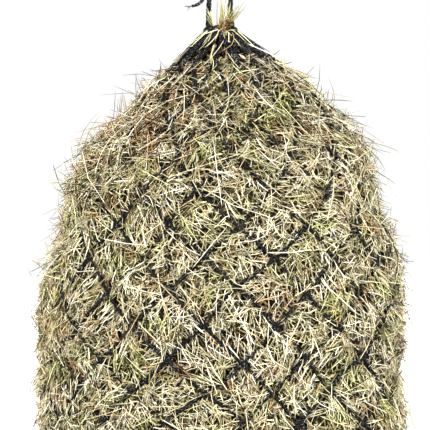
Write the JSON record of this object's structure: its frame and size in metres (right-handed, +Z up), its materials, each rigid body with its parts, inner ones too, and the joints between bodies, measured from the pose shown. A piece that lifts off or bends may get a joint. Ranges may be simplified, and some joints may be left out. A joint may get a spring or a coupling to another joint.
{
  "type": "hay net",
  "caption": "Large-mesh knotted hay net stuffed with hay, gathered at the neck by a draw cord whose two strands hang from a steel dee, with a steel ring closing the base.",
  "frame": {"origin": "where a hook bears inside the top of the hanging dee's bow, on the net's axis", "axes": "+Z up along the hanging net's axis, -Y the front, +X to the viewer's right, along the dee's bar"},
  "size_m": [0.5812, 0.5812, 1.0745],
  "materials": {
    "steel": "zinc-plated, lightly worn",
    "draw_cord": "braided polypropylene",
    "net_twine": "braided polypropylene",
    "hay": "dry stalks and leaves"
  },
  "bodies": {
    "hanger": {"hanging_dee": "steel"},
    "draw_cord": {"draw_cord_left_eye": "draw_cord", "draw_cord_left_knot": "draw_cord", "draw_cord_left_strand": "draw_cord", "draw_cord_right_eye": "draw_cord", "draw_cord_right_knot": "draw_cord", "draw_cord_right_strand": "draw_cord"},
    "net": {"draw_cord_neck_loop": "draw_cord", "net_row_01": "net_twine", "net_row_02": "net_twine", "net_row_03": "net_twine", "net_row_04": "net_twine", "net_row_05": "net_twine", "net_row_06": "net_twine", "net_row_07": "net_twine", "net_row_08": "net_twine", "net_row_09": "net_twine", "net_row_10": "net_twine", "net_row_11": "net_twine", "net_row_12": "net_twine", "net_row_13": "net_twine", "net_row_14": "net_twine", "net_row_15": "net_twine", "net_row_16": "net_twine", "net_row_17": "net_twine", "net_row_18": "net_twine", "net_row_19": "net_twine", "hay_fill": "hay", "hay_tuft": "hay"},
    "closing_ring": {"base_ring": "steel"}
  },
  "joints": [
    {"name": "net_swing", "type": "hinge", "parent": "hanger", "child": "draw_cord", "pos_m": [0, 0, -0.0435], "axis": [1, 0, 0], "range_deg": [-60, 60]},
    {"name": "net_turn", "type": "hinge", "parent": "draw_cord", "child": "net", "pos_m": [0, 0, -0.1385], "axis": [0, 0, 1], "range_deg": [-90, 90]},
    {"name": "base_ring_turn", "type": "hinge", "parent": "net", "child": "closing_ring", "pos_m": [0, 0, -1.0645], "axis": [0, 0, 1], "continuous": true}
  ]
}
